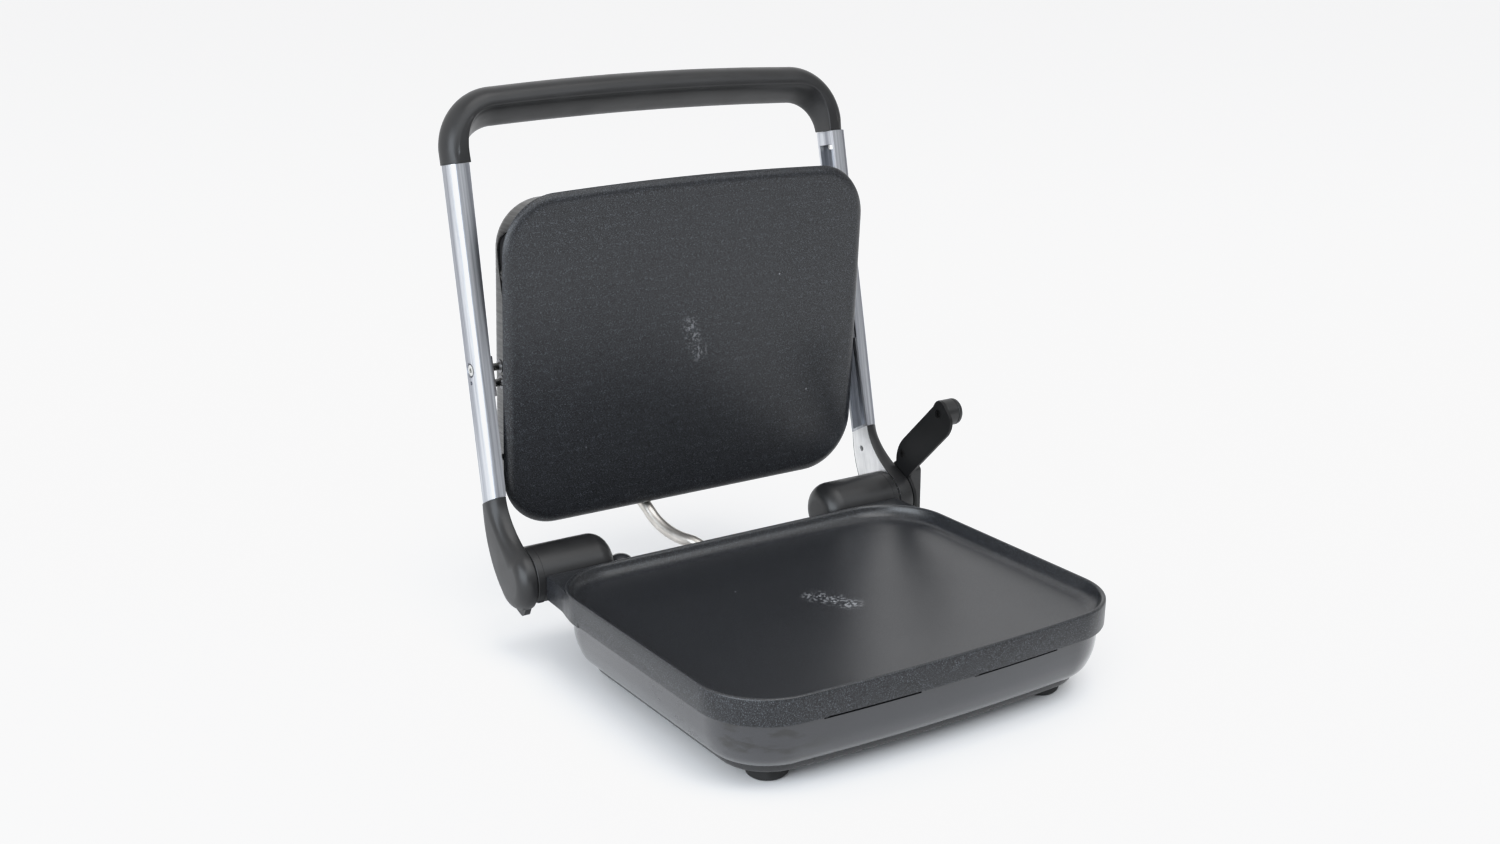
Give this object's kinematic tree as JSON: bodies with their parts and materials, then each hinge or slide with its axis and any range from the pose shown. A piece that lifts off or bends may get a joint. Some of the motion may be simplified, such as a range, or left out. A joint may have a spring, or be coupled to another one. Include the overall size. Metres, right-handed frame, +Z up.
{
  "type": "panini press",
  "caption": "Electric contact grill with a floating upper plate, standing open, with a side lever for the gap between the plates.",
  "frame": {"origin": "on the table, below the middle of the open press", "axes": "+X to the right with the handle side in front (height lever side), +Y to the hinge side, +Z up"},
  "size_m": [0.3808, 0.4082, 0.4172],
  "materials": {
    "nonstick": "charcoal non-stick coating with a fine satin grain",
    "shell_plastic": "dark grey, smooth and fairly glossy",
    "black_plastic": "black, fine satin texture",
    "rubber": "matt black",
    "polished_aluminium": "polished casting",
    "brushed_steel": "fine brushed sheet",
    "bright_steel": "bright turned steel",
    "spring_steel": "grey spring steel",
    "conduit_steel": "warm grey satin flexible tube",
    "element_steel": "dull heat-tinted sheath",
    "ceramic": "unglazed insulating block"
  },
  "bodies": {
    "base": {"base_shell": "shell_plastic", "bottom_cover": "shell_plastic", "lower_plate": "nonstick", "lower_element": "element_steel", "lower_thermostat": "bright_steel", "terminal_block": "ceramic", "conduit_socket_base": "bright_steel", "lever_housing": "black_plastic", "foot_front_left": "rubber", "foot_front_right": "rubber", "foot_rear_left": "rubber", "foot_rear_right": "rubber", "cord_gland": "rubber", "hinge_barrel_left": "black_plastic", "hinge_shaft_left": "bright_steel", "hinge_spring_left": "spring_steel", "hinge_barrel_right": "black_plastic", "hinge_shaft_right": "bright_steel", "hinge_spring_right": "spring_steel", "conduit_lower": "conduit_steel"},
    "arms": {"handle": "black_plastic", "arm_left": "polished_aluminium", "arm_boot_left": "black_plastic", "pivot_pin_left": "bright_steel", "pivot_screw_left": "bright_steel", "pivot_clip_left": "spring_steel", "float_bracket_left": "spring_steel", "handle_screw_left": "bright_steel", "arm_right": "polished_aluminium", "arm_boot_right": "black_plastic", "pivot_pin_right": "bright_steel", "pivot_screw_right": "bright_steel", "pivot_clip_right": "spring_steel", "float_bracket_right": "spring_steel", "handle_screw_right": "bright_steel"},
    "lid": {"upper_plate": "nonstick", "lid_housing": "black_plastic", "lid_cover": "brushed_steel", "upper_element": "element_steel", "upper_fuse": "bright_steel", "conduit_socket_lid": "bright_steel", "conduit_upper": "conduit_steel", "stop_pin_left": "bright_steel", "stop_clip_left": "spring_steel", "lid_screw_left": "bright_steel", "stop_pin_right": "bright_steel", "stop_clip_right": "spring_steel", "lid_screw_right": "bright_steel"},
    "lever": {"lever_arm": "black_plastic", "lever_screw_knob": "bright_steel", "lever_screw_hub": "bright_steel", "lever_knob": "black_plastic", "lever_knob_cap": "black_plastic"}
  },
  "joints": [
    {"name": "lid_hinge", "type": "hinge", "parent": "base", "child": "arms", "pos_m": [-0.0098, 0.09531, 0.0642], "axis": [1, 0, 0], "range_deg": [0, 100.8], "deforming": ["conduit_lower"]},
    {"name": "float_pivot", "type": "hinge", "parent": "arms", "child": "lid", "pos_m": [-0.0098, 0.15032, 0.2127], "axis": [1, 0, 0], "range_deg": [-15, 0], "deforming": ["conduit_upper"]},
    {"name": "height_lever", "type": "hinge", "parent": "base", "child": "lever", "pos_m": [-0.0098, 0.09531, 0.0642], "axis": [1, 0, 0], "range_deg": [0, 42]}
  ],
  "couplings": [
    {"joint": "float_pivot", "follows": "lid_hinge", "ratio": -0.14702}
  ]
}
